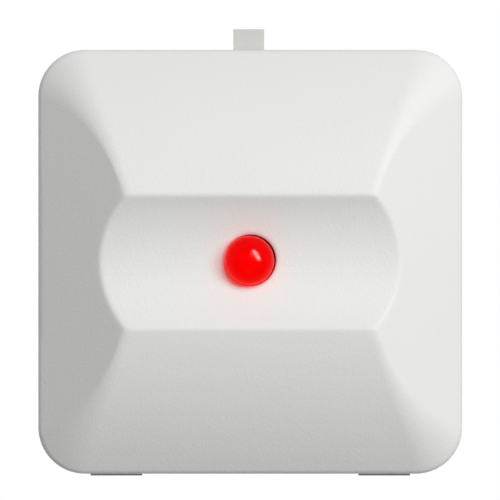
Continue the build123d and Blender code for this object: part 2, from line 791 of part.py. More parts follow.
with BuildPart() as relay_open_contact:
    leg_mid_z = relay_z + contact_leg_z
    tongue_low_y = -(board_front_depth + contact_h - contact_r)
    tongue_top_y = -(board_front_depth + contact_h + contact_r)
    with BuildSketch(Plane.YZ.offset(open_contact_x - contact_post_t)):
        with BuildLine():
            Polyline(
                (-(board_front_depth + relay_base_t), leg_mid_z - contact_leg_w / 2),
                (-(board_front_depth + relay_base_t), leg_mid_z + contact_leg_w / 2),
                (tongue_top_y, leg_mid_z + contact_leg_w / 2),
                (tongue_top_y, relay_z - contact_r),
                (tongue_low_y, relay_z - contact_r),
                (tongue_low_y, leg_mid_z - contact_leg_w / 2),
                close=True,
            )
        make_face()
    extrude(amount=contact_post_t)
relay_open_contact.part.label = "relay_open_contact"
export_step(relay_open_contact.part, "parts/relay_open_contact.step")

with BuildPart() as relay_pins:
    with BuildSketch(Plane.XZ.offset(lead_end_depth)):
        with Locations(*relay_pins_xz):
            Rectangle(relay_pin_w, relay_pin_t)
    extrude(amount=board_front_depth - lead_end_depth)
relay_pins.part.label = "relay_pins"
export_step(relay_pins.part, "parts/relay_pins.step")

# Light source behind the dome
with BuildPart() as indicator_led:
    with BuildSketch(Plane.XZ.offset(board_front_depth)):
        with Locations((dome_hole_x, dome_z)):
            Circle(led_flange_r)
    extrude(amount=led_flange_t)
    with BuildSketch(Plane.XZ.offset(board_front_depth + led_flange_t)):
        with Locations((dome_hole_x, dome_z)):
            Circle(led_r)
    extrude(amount=led_h - led_r - led_flange_t)
    with Locations((dome_hole_x, -(board_front_depth + led_h - led_r), dome_z)):
        Sphere(led_r)
indicator_led.part.label = "indicator_led"
export_step(indicator_led.part, "parts/indicator_led.step")

# Resistors, with the thicker ends of a dipped film resistor
with BuildPart() as resistors:
    for z in resistor_z:
        with BuildSketch(Plane.YZ.offset(resistor_x)):
            with Locations((-resistor_depth, z)):
                Circle(resistor_waist_r)
        extrude(amount=resistor_length / 2, both=True)
        for side in (-1, 1):
            cap_x = resistor_x + side * (resistor_length - resistor_cap_length) / 2
            with BuildSketch(Plane.YZ.offset(cap_x)):
                with Locations((-resistor_depth, z)):
                    Circle(resistor_r)
            extrude(amount=resistor_cap_length / 2, both=True)
    circles = resistors.edges().filter_by(GeomType.CIRCLE)
    cap_rims = circles.filter_by(lambda edge: edge.radius > resistor_waist_r + pick_tolerance)
    fillet(cap_rims, resistor_round)
resistors.part.label = "resistors"
export_step(resistors.part, "parts/resistors.step")

# Flyback diode across the relay's coil
with BuildPart() as flyback_diode:
    with BuildSketch(Plane.YZ.offset(diode_x)):
        with Locations((-diode_depth, diode_z)):
            Circle(diode_r)
    extrude(amount=diode_length / 2, both=True)
    chamfer(flyback_diode.edges().filter_by(GeomType.CIRCLE), diode_chamfer)
flyback_diode.part.label = "flyback_diode"
export_step(flyback_diode.part, "parts/flyback_diode.step")

# Driver transistor
with BuildPart() as driver_transistor:
    with BuildSketch(Plane.XZ.offset(board_front_depth + transistor_lift)):
        with Locations((transistor_x, transistor_z)):
            Circle(transistor_r)
        with Locations((transistor_x, transistor_z - transistor_flat)):
            Rectangle(
                2 * transistor_r, transistor_r, align=(Align.CENTER, Align.MAX), mode=Mode.SUBTRACT
            )
    extrude(amount=transistor_h)
driver_transistor.part.label = "driver_transistor"
export_step(driver_transistor.part, "parts/driver_transistor.step")

# Smoothing capacitor, with the rolled groove near its foot
with BuildPart() as smoothing_capacitor:
    with BuildSketch(Plane.XZ.offset(board_front_depth + part_lift)):
        with Locations((capacitor_x, capacitor_z)):
            Circle(capacitor_r)
    extrude(amount=capacitor_h)
    fillet(smoothing_capacitor.edges(), capacitor_round)
    with BuildSketch(Plane.XZ.offset(board_front_depth + part_lift + capacitor_groove_h)):
        with Locations((capacitor_x, capacitor_z)):
            Circle(capacitor_r)
            Circle(capacitor_r - capacitor_groove, mode=Mode.SUBTRACT)
    extrude(amount=capacitor_groove_w, mode=Mode.SUBTRACT)
smoothing_capacitor.part.label = "smoothing_capacitor"
export_step(smoothing_capacitor.part, "parts/smoothing_capacitor.step")

# Leads: bent ones for what lies on the board, straight ones for what stands
with BuildPart() as component_leads:
    lying = [(resistor_x, z, resistor_length, resistor_depth) for z in resistor_z]
    lying += [(diode_x, diode_z, diode_length, diode_depth)]
    for x, z, length, depth in lying:
        for side in (-1, 1):
            start_x = x + side * length / 2
            end_x = x + side * lead_span / 2
            with BuildLine():
                FilletPolyline(
                    (start_x, -depth, z),
                    (end_x, -depth, z),
                    (end_x, -lead_end_depth, z),
                    radius=lead_bend_r,
                )
            with BuildSketch(Plane.YZ.offset(start_x)):
                with Locations((-depth, z)):
                    Circle(lead_r)
            sweep()
    with BuildSketch(Plane.XZ.offset(lead_end_depth)):
        with Locations(*straight_leads[:2]):
            Circle(lead_r)
    extrude(amount=board_front_depth - lead_end_depth)
    with BuildSketch(Plane.XZ.offset(lead_end_depth)):
        with Locations(*straight_leads[2:]):
            Circle(lead_r)
    extrude(amount=board_front_depth + transistor_lift - lead_end_depth)
    with BuildSketch(Plane.XZ.offset(lead_end_depth)):
        with Locations(*capacitor_leads):
            Circle(lead_r)
    extrude(amount=board_front_depth + part_lift - lead_end_depth)
component_leads.part.label = "component_leads"
export_step(component_leads.part, "parts/component_leads.step")

print("Cover hinge at depth", hinge_depth, "and height", hinge_z)
print("Release arm's root at", arm_root_x, arm_z, "and its swing", arm_swing)
print("Armature's foot at", armature_x, board_front_depth + armature_foot_h)
print("Terminal ways at", way_x)
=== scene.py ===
# Fire alarm relay module in a plain studio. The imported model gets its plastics, metals and board
# finish, and the relay's coil, the copper tracks, the solder and the board's print are added to it.
import math

import bpy
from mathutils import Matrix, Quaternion, Vector


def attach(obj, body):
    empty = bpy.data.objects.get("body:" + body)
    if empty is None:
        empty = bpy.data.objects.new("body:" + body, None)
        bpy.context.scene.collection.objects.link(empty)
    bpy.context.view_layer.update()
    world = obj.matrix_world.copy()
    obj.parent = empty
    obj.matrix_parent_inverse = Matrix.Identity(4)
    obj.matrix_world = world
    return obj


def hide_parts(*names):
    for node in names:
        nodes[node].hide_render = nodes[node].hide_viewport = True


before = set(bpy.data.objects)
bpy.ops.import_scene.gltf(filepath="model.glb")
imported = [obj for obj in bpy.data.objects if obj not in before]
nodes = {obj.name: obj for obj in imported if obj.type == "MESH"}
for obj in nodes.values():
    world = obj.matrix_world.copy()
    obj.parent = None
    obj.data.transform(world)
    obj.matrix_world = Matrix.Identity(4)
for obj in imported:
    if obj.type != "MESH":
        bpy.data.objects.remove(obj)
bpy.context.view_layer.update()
mm = 0.001
print("frame loaded:", len(nodes), "nodes")


# small helpers

smoothAngle = 35.0      # degrees, sharper edges stay sharp


def toLinear(code):
    # sRGB hex to the linear values that the shaders take
    channels = [int(code[n:n + 2], 16) / 255 for n in (1, 3, 5)]
    linear = [c / 12.92 if c <= 0.04045 else ((c + 0.055) / 1.055) ** 2.4 for c in channels]
    return (*linear, 1.0)


def addNode(owner, kind, settings=None, links=None):
    # owner is a material or the world; settings name sockets or properties, links name sockets
    tree = owner.node_tree
    node = tree.nodes.new(kind)
    for name, value in (settings or {}).items():
        if isinstance(name, int) or name in node.inputs:
            node.inputs[name].default_value = value
        else:
            setattr(node, name, value)
    for name, source in (links or {}).items():
        tree.links.new(source, node.inputs[name])
    return node


def newMaterial(name):
    material = bpy.data.materials.new(name)
    material.use_nodes = True
    material.node_tree.nodes.clear()
    return material, addNode(material, "ShaderNodeTexCoord").outputs["Object"]


def closeMaterial(material, shader):
    addNode(material, "ShaderNodeOutputMaterial", links={"Surface": shader})
    return material


def dress(material, *names):
    # CAD nodes keep their mesh and get one material
    for name in names:
        nodes[name].data.materials.clear()
        nodes[name].data.materials.append(material)


def pickOnly(*pieces):
    bpy.ops.object.select_all(action="DESELECT")
    for piece in pieces:
        piece.select_set(True)
    bpy.context.view_layer.objects.active = pieces[0]


def finishPiece(piece, name, material, body="base"):
    # a modelled piece gets its place in its mesh, its name, its material and the body it rides on
    pickOnly(piece)
    bpy.ops.object.transform_apply(location=True, rotation=True, scale=True)
    bpy.ops.object.shade_smooth_by_angle(angle=math.radians(smoothAngle))
    piece.name = name
    piece.data.name = name
    piece.data.materials.clear()
    piece.data.materials.append(material)
    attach(piece, body)
    print("piece:", name, len(piece.data.polygons), "faces")
    return piece


# white plastics

cover = {
    "colour": "#E9EAE8",
    "lowColour": "#E6E7E5",
    "driftSize": 18.0,      # mm between paler and darker patches
    "grainSize": 0.5,       # mm, the real grain is finer and wouldn't show
    "grainDepth": 0.05,     # mm, deeper than the real one for the same reason
    "roughness": (0.5, 0.62),
    "ridgeRadius": 1.5,     # mm by which the ridges look rounder than they are cut
    "creaseRadius": 0.3,    # mm, the same for the creases above and below the ridges
    "ridgeZ": 14.2,         # mm up or down to where the ridges end
    "creaseZ": 16.2,        # mm up or down to where the creases begin
}
plate = {
    "colour": "#CBCCC8",
    "lowColour": "#C3C4C0",
    "flowSize": 9.0,        # mm between the flow marks
    "grainSize": 0.5,       # mm, coarser than the real one so that it shows
    "grainDepth": 0.04,     # mm
    "roughness": (0.36, 0.5),
}


def sparkErodedAbs():
    # ABS from a spark-eroded tool: a dull white without any clear reflection, soft along the ridges
    material, place = newMaterial("sparkErodedAbs")
    drift = addNode(material, "ShaderNodeTexNoise",
                    {"Scale": 1 / (cover["driftSize"] * mm), "Detail": 2.0}, {"Vector": place})
    tone = addNode(material, "ShaderNodeMix",
                   {"data_type": "RGBA", 6: toLinear(cover["lowColour"]), 7: toLinear(cover["colour"])},
                   {0: drift.outputs["Fac"]})
    grain = addNode(material, "ShaderNodeTexNoise",
                    {"Scale": 1 / (cover["grainSize"] * mm), "Detail": 3.0}, {"Vector": place})
    smooth, rough = cover["roughness"]
    dull = addNode(material, "ShaderNodeMapRange", {"To Min": smooth, "To Max": rough},
                   {"Value": grain.outputs["Fac"]})
    split = addNode(material, "ShaderNodeSeparateXYZ", links={"Vector": place})
    height = addNode(material, "ShaderNodeMath", {"operation": "ABSOLUTE"}, {0: split.outputs["Z"]})
    radius = addNode(material, "ShaderNodeMapRange",
                     {"From Min": cover["ridgeZ"] * mm, "From Max": cover["creaseZ"] * mm,
                      "To Min": cover["ridgeRadius"] * mm, "To Max": cover["creaseRadius"] * mm},
                     {"Value": height.outputs["Value"]})
    softRidge = addNode(material, "ShaderNodeBevel", {"samples": 8},
                        {"Radius": radius.outputs["Result"]})
    relief = addNode(material, "ShaderNodeBump",
                     {"Strength": 1.0, "Distance": cover["grainDepth"] * mm},
                     {"Height": grain.outputs["Fac"], "Normal": softRidge.outputs["Normal"]})
    shader = addNode(material, "ShaderNodeBsdfPrincipled", {"IOR": 1.53},
                     {"Base Color": tone.outputs[2], "Roughness": dull.outputs["Result"],
                      "Normal": relief.outputs["Normal"]})
    return closeMaterial(material, shader.outputs["BSDF"])


def mouldedAbs():
    # the same ABS from a plain tool: a shade greyer, with faint flow marks and more sheen
    material, place = newMaterial("mouldedAbs")
    flow = addNode(material, "ShaderNodeTexNoise",
                   {"Scale": 1 / (plate["flowSize"] * mm), "Detail": 3.0, "Distortion": 1.2},
                   {"Vector": place})
    tone = addNode(material, "ShaderNodeMix",
                   {"data_type": "RGBA", 6: toLinear(plate["lowColour"]), 7: toLinear(plate["colour"])},
                   {0: flow.outputs["Fac"]})
    smooth, rough = plate["roughness"]
    sheen = addNode(material, "ShaderNodeMapRange", {"To Min": smooth, "To Max": rough},
                    {"Value": flow.outputs["Fac"]})
    grain = addNode(material, "ShaderNodeTexNoise",
                    {"Scale": 1 / (plate["grainSize"] * mm), "Detail": 2.0}, {"Vector": place})
    relief = addNode(material, "ShaderNodeBump",
                     {"Strength": 0.15, "Distance": plate["grainDepth"] * mm},
                     {"Height": grain.outputs["Fac"]})
    shader = addNode(material, "ShaderNodeBsdfPrincipled", {"IOR": 1.53},
                     {"Base Color": tone.outputs[2], "Roughness": sheen.outputs["Result"],
                      "Normal": relief.outputs["Normal"]})
    return closeMaterial(material, shader.outputs["BSDF"])


dress(sparkErodedAbs(), "cover")
dress(mouldedAbs(), "base_plate", "release_tab")


# the alarm dome and its ring

dome = {
    "red": "#E40000",
    "paintedGlow": "#FF0000",
    "paintedGlowNear": 0.0,                # painted glow's strength at the upper right, towards the key light
    "paintedGlowFar": 0.6,                 # painted glow's strength at the lower left, where the key light would gather inside the dome
    "paintedGlowTowards": (0.74, 0, 0.67),             # the way in which the painted glow fades
    "paintedGlowReach": 0.9,               # of the radius, over which it fades
    "radius": 4.75, "x": -0.15, "z": 0.3,       # mm
    "hazeSize": 2.5,                # mm
    "roughness": (0.08, 0.13),
    "shine": 0.03,                  # low, or the white studio would pale the red
    "shadowTint": "#D81C0C",        # what a red dome lets through
}
ring = {
    "black": "#17171A",
    "toolMarks": 0.3,               # mm
    "roughness": (0.34, 0.48),
}


def redAcrylic():
    # polished red acrylic: deep red, brightened by a painted glow towards the lower left, where the key
    # light would gather inside; one crisp highlight, a red-tinted shadow
    material, place = newMaterial("redAcrylic")
    haze = addNode(material, "ShaderNodeTexNoise",
                   {"Scale": 1 / (dome["hazeSize"] * mm), "Detail": 1.0}, {"Vector": place})
    smooth, rough = dome["roughness"]
    polish = addNode(material, "ShaderNodeMapRange", {"To Min": smooth, "To Max": rough},
                     {"Value": haze.outputs["Fac"]})
    offset = addNode(material, "ShaderNodeVectorMath",
                     {"operation": "SUBTRACT", 1: (dome["x"] * mm, 0, dome["z"] * mm)}, {0: place})
    slope = addNode(material, "ShaderNodeVectorMath",
                    {"operation": "DOT_PRODUCT", 1: dome["paintedGlowTowards"]},
                    {0: offset.outputs["Vector"]})
    reach = dome["paintedGlowReach"] * dome["radius"] * mm
    # painted glow: emission that rises from nothing at the upper right to its strongest at the lower
    # left
    paintedGlow = addNode(material, "ShaderNodeMapRange",
                   {"From Min": -reach, "From Max": reach, "To Min": dome["paintedGlowFar"],
                    "To Max": dome["paintedGlowNear"]}, {"Value": slope.outputs["Value"]})
    shader = addNode(material, "ShaderNodeBsdfPrincipled",
                     {"Base Color": toLinear(dome["red"]), "IOR": 1.49,
                      "Specular IOR Level": dome["shine"], "Emission Color": toLinear(dome["paintedGlow"])},
                     {"Roughness": polish.outputs["Result"],
                      "Emission Strength": paintedGlow.outputs["Result"]})
    tint = addNode(material, "ShaderNodeBsdfTransparent", {"Color": toLinear(dome["shadowTint"])})
    rays = addNode(material, "ShaderNodeLightPath")
    blend = addNode(material, "ShaderNodeMixShader",
                    links={0: rays.outputs["Is Shadow Ray"], 1: shader.outputs["BSDF"],
                           2: tint.outputs["BSDF"]})
    return closeMaterial(material, blend.outputs["Shader"])


def blackAcetal():
    # turned black acetal: nearly black, waxy, with fine marks left by the tool
    material, place = newMaterial("blackAcetal")
    marks = addNode(material, "ShaderNodeTexNoise",
                    {"Scale": 1 / (ring["toolMarks"] * mm), "Detail": 2.0}, {"Vector": place})
    smooth, rough = ring["roughness"]
    sheen = addNode(material, "ShaderNodeMapRange", {"To Min": smooth, "To Max": rough},
                    {"Value": marks.outputs["Fac"]})
    shader = addNode(material, "ShaderNodeBsdfPrincipled",
                     {"Base Color": toLinear(ring["black"]), "IOR": 1.48},
                     {"Roughness": sheen.outputs["Result"]})
    return closeMaterial(material, shader.outputs["BSDF"])


dress(redAcrylic(), "indicator_lens")
dress(blackAcetal(), "lens_retaining_ring")
print("outside dressed")


# circuit board, its blocks and its screws

board = {
    "front": -5.6,          # mm, where the parts sit
    "rear": -4.0,
    "mask": "#0C5B34",
    "maskLow": "#094B2B",
    "weave": 0.8,           # mm between the glass cloth's threads
    "weaveDepth": 0.02,     # mm
    "edge": "#A89F5E",
    "roughness": (0.24, 0.6),       # of the mask and of the raw edges
}
terminals = {
    "green": "#239150",
    "lowGreen": "#1B7F43",
    "cloudSize": 3.0,       # mm
    "grainSize": 0.25,      # mm
    "grainDepth": 0.02,     # mm
}
metals = {                  # two tones, mm across a patch, smoothest and roughest
    "brightTinPlate": ("#D2D3D2", "#B9BBBA", 0.6, 0.18, 0.34),      # silvery, soft
    "blueZincPlate": ("#C3C8CC", "#A7AEB4", 0.9, 0.24, 0.42),       # cool grey
    "nickelFlashedBrass": ("#CDBF93", "#BCA873", 0.7, 0.22, 0.4),   # warm
    "nickelPlatedIron": ("#ACAEAF", "#969899", 1.1, 0.2, 0.38),     # darker grey
    "tinSolder": ("#D8D8D6", "#C2C3C1", 0.5, 0.14, 0.3),            # bright, smooth
}


def maskedLaminate():
    # green solder mask over woven glass: glossy, the cloth faintly showing, raw straw-coloured edges
    material, place = newMaterial("maskedLaminate")
    scale = math.pi / 10 / (board["weave"] * mm)        # a wave's own period is pi / 10 at scale 1
    warp = addNode(material, "ShaderNodeTexWave",
                   {"bands_direction": "X", "Scale": scale, "Distortion": 0.6}, {"Vector": place})
    weft = addNode(material, "ShaderNodeTexWave",
                   {"bands_direction": "Z", "Scale": scale, "Distortion": 0.6}, {"Vector": place})
    cloth = addNode(material, "ShaderNodeMath", {"operation": "MULTIPLY"},
                    {0: warp.outputs["Fac"], 1: weft.outputs["Fac"]})
    mask = addNode(material, "ShaderNodeMix",
                   {"data_type": "RGBA", 6: toLinear(board["mask"]), 7: toLinear(board["maskLow"])},
                   {0: cloth.outputs["Value"]})
    surface = addNode(material, "ShaderNodeNewGeometry")
    facing = addNode(material, "ShaderNodeSeparateXYZ", links={"Vector": surface.outputs["Normal"]})
    slant = addNode(material, "ShaderNodeMath", {"operation": "ABSOLUTE"}, {0: facing.outputs["Y"]})
    onFace = addNode(material, "ShaderNodeMath", {"operation": "GREATER_THAN", 1: 0.9},
                     {0: slant.outputs["Value"]})
    colour = addNode(material, "ShaderNodeMix", {"data_type": "RGBA", 6: toLinear(board["edge"])},
                     {0: onFace.outputs["Value"], 7: mask.outputs[2]})
    smooth, rough = board["roughness"]
    sheen = addNode(material, "ShaderNodeMapRange", {"To Min": rough, "To Max": smooth},
                    {"Value": onFace.outputs["Value"]})
    relief = addNode(material, "ShaderNodeBump",
                     {"Strength": 0.2, "Distance": board["weaveDepth"] * mm},
                     {"Height": cloth.outputs["Value"]})
    shader = addNode(material, "ShaderNodeBsdfPrincipled", {"IOR": 1.52},
                     {"Base Color": colour.outputs[2], "Roughness": sheen.outputs["Result"],
                      "Normal": relief.outputs["Normal"]})
    return closeMaterial(material, shader.outputs["BSDF"])


def greenPolyamide():
    # moulded green polyamide: strong colour, satin, slightly cloudy where the melt met
    material, place = newMaterial("greenPolyamide")
    cloud = addNode(material, "ShaderNodeTexNoise",
                    {"Scale": 1 / (terminals["cloudSize"] * mm), "Detail": 3.0}, {"Vector": place})
    tone = addNode(material, "ShaderNodeMix",
                   {"data_type": "RGBA", 6: toLinear(terminals["lowGreen"]),
                    7: toLinear(terminals["green"])}, {0: cloud.outputs["Fac"]})
    grain = addNode(material, "ShaderNodeTexNoise",
                    {"Scale": 1 / (terminals["grainSize"] * mm), "Detail": 2.0}, {"Vector": place})
    relief = addNode(material, "ShaderNodeBump",
                     {"Strength": 0.25, "Distance": terminals["grainDepth"] * mm},
                     {"Height": grain.outputs["Fac"]})
    shader = addNode(material, "ShaderNodeBsdfPrincipled", {"Roughness": 0.36, "IOR": 1.53},
                     {"Base Color": tone.outputs[2], "Normal": relief.outputs["Normal"]})
    return closeMaterial(material, shader.outputs["BSDF"])


def platedMetal(name):
    # bright metal, faintly patchy where the plating or the melt varies
    bright, dull, patch, smooth, rough = metals[name]
    material, place = newMaterial(name)
    cloud = addNode(material, "ShaderNodeTexNoise", {"Scale": 1 / (patch * mm), "Detail": 4.0},
                    {"Vector": place})
    tone = addNode(material, "ShaderNodeMix",
                   {"data_type": "RGBA", 6: toLinear(dull), 7: toLinear(bright)},
                   {0: cloud.outputs["Fac"]})
    polish = addNode(material, "ShaderNodeMapRange", {"To Min": smooth, "To Max": rough},
                     {"Value": cloud.outputs["Fac"]})
    shader = addNode(material, "ShaderNodeBsdfPrincipled", {"Metallic": 1.0},
                     {"Base Color": tone.outputs[2], "Roughness": polish.outputs["Result"]})
    return closeMaterial(material, shader.outputs["BSDF"])


ways = range(1, 6)          # the five wires that the two blocks take
dress(maskedLaminate(), "circuit_board")
dress(greenPolyamide(), "supply_terminal_block", "output_terminal_block")
dress(platedMetal("brightTinPlate"), "terminal_pins", "relay_pins", "component_leads")
dress(platedMetal("blueZincPlate"), "board_screws", *[f"terminal_screw_{n}" for n in ways])
dress(platedMetal("nickelFlashedBrass"), *[f"wire_clamp_{n}" for n in ways])
dress(platedMetal("nickelPlatedIron"), "relay_core", "relay_yoke", "relay_armature")


# relay

relay = {
    "contactY": -14.2,      # mm, where the silver discs sit on the bronze
    "contactZ": 14.2,
    "contactRadius": 0.62,
    "silver": "#DEDEDC",
    "bronze": "#C89C60",
    "lowBronze": "#AC8045",
    "rollingLines": 0.25,   # mm apart
    "bronzeRoughness": (0.24, 0.42),
    "clear": "#F4F8FA",
    "ripple": 4.0,          # mm from crest to crest in the case's walls
    "rippleDepth": 0.05,    # mm
    "copper": "#BE6A34",
    "lowCopper": "#A4501F",
    "copperPatch": 1.4,     # mm
    "fibre": 0.9,           # mm, coarser than glass fibre so that it shows
    "fibreDepth": 0.02,     # mm
}


def clearPolycarbonate():
    # thin clear case: glassy, with the slight ripple of a moulding
    material, place = newMaterial("clearPolycarbonate")
    ripple = addNode(material, "ShaderNodeTexNoise",
                     {"Scale": 1 / (relay["ripple"] * mm), "Detail": 1.0}, {"Vector": place})
    relief = addNode(material, "ShaderNodeBump",
                     {"Strength": 0.1, "Distance": relay["rippleDepth"] * mm},
                     {"Height": ripple.outputs["Fac"]})
    shader = addNode(material, "ShaderNodeBsdfPrincipled",
                     {"Base Color": toLinear(relay["clear"]), "Roughness": 0.04, "IOR": 1.58,
                      "Transmission Weight": 1.0}, {"Normal": relief.outputs["Normal"]})
    return closeMaterial(material, shader.outputs["BSDF"])


def filledPolyester(name, pale, dark, roughness):
    # glass-filled polyester: matt, with short fibres showing as fine streaks
    material, place = newMaterial(name)
    stretch = addNode(material, "ShaderNodeMapping", {"Scale": (1.0, 3.0, 3.0)}, {"Vector": place})
    fibre = addNode(material, "ShaderNodeTexNoise",
                    {"Scale": 1 / (relay["fibre"] * mm), "Detail": 4.0},
                    {"Vector": stretch.outputs["Vector"]})
    tone = addNode(material, "ShaderNodeMix",
                   {"data_type": "RGBA", 6: toLinear(dark), 7: toLinear(pale)},
                   {0: fibre.outputs["Fac"]})
    relief = addNode(material, "ShaderNodeBump",
                     {"Strength": 0.2, "Distance": relay["fibreDepth"] * mm},
                     {"Height": fibre.outputs["Fac"]})
    shader = addNode(material, "ShaderNodeBsdfPrincipled", {"Roughness": roughness, "IOR": 1.55},
                     {"Base Color": tone.outputs[2], "Normal": relief.outputs["Normal"]})
    return closeMaterial(material, shader.outputs["BSDF"])


def enamelledCopper():
    # copper wire under clear enamel: warm red-brown metal with a second, sharper gloss on top
    material, place = newMaterial("enamelledCopper")
    drift = addNode(material, "ShaderNodeTexNoise",
                    {"Scale": 1 / (relay["copperPatch"] * mm), "Detail": 2.0}, {"Vector": place})
    tone = addNode(material, "ShaderNodeMix",
                   {"data_type": "RGBA", 6: toLinear(relay["lowCopper"]),
                    7: toLinear(relay["copper"])}, {0: drift.outputs["Fac"]})
    shader = addNode(material, "ShaderNodeBsdfPrincipled",
                     {"Metallic": 1.0, "Roughness": 0.32, "Coat Weight": 0.8,
                      "Coat Roughness": 0.12, "Coat IOR": 1.55}, {"Base Color": tone.outputs[2]})
    return closeMaterial(material, shader.outputs["BSDF"])


def bronzeAndSilver():
    # rolled spring bronze with silver contact discs: gold-brown strip, white metal dots
    material, place = newMaterial("bronzeAndSilver")
    offset = addNode(material, "ShaderNodeVectorMath",
                     {"operation": "SUBTRACT", 1: (0, relay["contactY"] * mm, relay["contactZ"] * mm)},
                     {0: place})
    flat = addNode(material, "ShaderNodeVectorMath", {"operation": "MULTIPLY", 1: (0, 1, 1)},
                   {0: offset.outputs["Vector"]})
    away = addNode(material, "ShaderNodeVectorMath", {"operation": "LENGTH"},
                   {0: flat.outputs["Vector"]})
    onDisc = addNode(material, "ShaderNodeMath",
                     {"operation": "LESS_THAN", 1: relay["contactRadius"] * mm},
                     {0: away.outputs["Value"]})
    rolling = addNode(material, "ShaderNodeMapping", {"Scale": (1.0, 0.2, 1.0)}, {"Vector": place})
    lines = addNode(material, "ShaderNodeTexNoise",
                    {"Scale": 1 / (relay["rollingLines"] * mm), "Detail": 3.0},
                    {"Vector": rolling.outputs["Vector"]})
    strip = addNode(material, "ShaderNodeMix",
                    {"data_type": "RGBA", 6: toLinear(relay["lowBronze"]),
                     7: toLinear(relay["bronze"])}, {0: lines.outputs["Fac"]})
    tone = addNode(material, "ShaderNodeMix", {"data_type": "RGBA", 7: toLinear(relay["silver"])},
                   {0: onDisc.outputs["Value"], 6: strip.outputs[2]})
    smooth, rough = relay["bronzeRoughness"]
    polish = addNode(material, "ShaderNodeMapRange", {"To Min": smooth, "To Max": rough},
                     {"Value": lines.outputs["Fac"]})
    shader = addNode(material, "ShaderNodeBsdfPrincipled", {"Metallic": 1.0},
                     {"Base Color": tone.outputs[2], "Roughness": polish.outputs["Result"]})
    return closeMaterial(material, shader.outputs["BSDF"])


copperWire = enamelledCopper()
dress(clearPolycarbonate(), "relay_case")
dress(filledPolyester("naturalPolyester", "#DED6BC", "#CFC5A4", 0.55), "relay_bobbin")
dress(filledPolyester("blackGlassPolyester", "#2B2B2D", "#1A1A1C", 0.5), "relay_base")
dress(copperWire, "relay_winding")
dress(bronzeAndSilver(), "relay_contact_spring", "relay_closed_contact", "relay_open_contact")


# small electronics

resistor = {
    "lacquer": "#C9AD80",
    "bandWidth": 0.5,                                   # mm
    "bandsX": (9.75, 10.85, 11.75, 14.1),               # mm, the left edge of each band
    "bands": ("#5A2E12", "#141414", "#B01E14", "#A8853A"),
    "middleBands": ("#5A2E12", "#141414", "#D36A14", "#A8853A"),
    "middleRowZ": (22.0, 25.2),                         # mm, the row with the other value
    "rampX": (8.0, 16.0),                               # mm, the strip of board that the bands use
    "runs": 1.1, "runDepth": 0.04,                      # mm, where the lacquer ran
}


def resistorLacquer():
    # dipped lacquer: creamy tan with glossy colour rings
    material, place = newMaterial("resistorLacquer")
    split = addNode(material, "ShaderNodeSeparateXYZ", links={"Vector": place})
    left, right = resistor["rampX"]
    span = right - left
    along = addNode(material, "ShaderNodeMapRange", {"From Min": left * mm, "From Max": right * mm},
                    {"Value": split.outputs["X"]})
    rows = []
    for bands in (resistor["bands"], resistor["middleBands"]):
        ramp = addNode(material, "ShaderNodeValToRGB", links={"Fac": along.outputs["Result"]})
        ramp.color_ramp.interpolation = "CONSTANT"
        ramp.color_ramp.elements[0].color = toLinear(resistor["lacquer"])
        ramp.color_ramp.elements.remove(ramp.color_ramp.elements[1])
        for start, band in zip(resistor["bandsX"], bands):
            ramp.color_ramp.elements.new((start - left) / span).color = toLinear(band)
            stop = start + resistor["bandWidth"]
            ramp.color_ramp.elements.new((stop - left) / span).color = toLinear(resistor["lacquer"])
        rows.append(ramp.outputs["Color"])
    low, high = resistor["middleRowZ"]
    above = addNode(material, "ShaderNodeMath", {"operation": "GREATER_THAN", 1: low * mm},
                    {0: split.outputs["Z"]})
    below = addNode(material, "ShaderNodeMath", {"operation": "LESS_THAN", 1: high * mm},
                    {0: split.outputs["Z"]})
    middle = addNode(material, "ShaderNodeMath", {"operation": "MULTIPLY"},
                     {0: above.outputs["Value"], 1: below.outputs["Value"]})
    tone = addNode(material, "ShaderNodeMix", {"data_type": "RGBA"},
                   {0: middle.outputs["Value"], 6: rows[0], 7: rows[1]})
    runs = addNode(material, "ShaderNodeTexNoise",
                   {"Scale": 1 / (resistor["runs"] * mm), "Detail": 1.0}, {"Vector": place})
    relief = addNode(material, "ShaderNodeBump",
                     {"Strength": 0.3, "Distance": resistor["runDepth"] * mm},
                     {"Height": runs.outputs["Fac"]})
    shader = addNode(material, "ShaderNodeBsdfPrincipled", {"Roughness": 0.22, "IOR": 1.5},
                     {"Base Color": tone.outputs[2], "Normal": relief.outputs["Normal"]})
    return closeMaterial(material, shader.outputs["BSDF"])


epoxy = {
    "diodeBlack": "#1B1B1D",
    "diodeBand": "#BFC1C2",
    "diodeBandX": (-12.9, -12.1),       # mm
    "transistorBlack": "#202022",
    "grit": 0.2, "gritDepth": 0.015,    # mm
    "roughness": (0.4, 0.6),
    "red": "#D1191B",
    "lowRed": "#B70F12",
    "milk": 0.8,                        # mm
    "sink": 0.6,                        # mm that light travels inside the red one
}


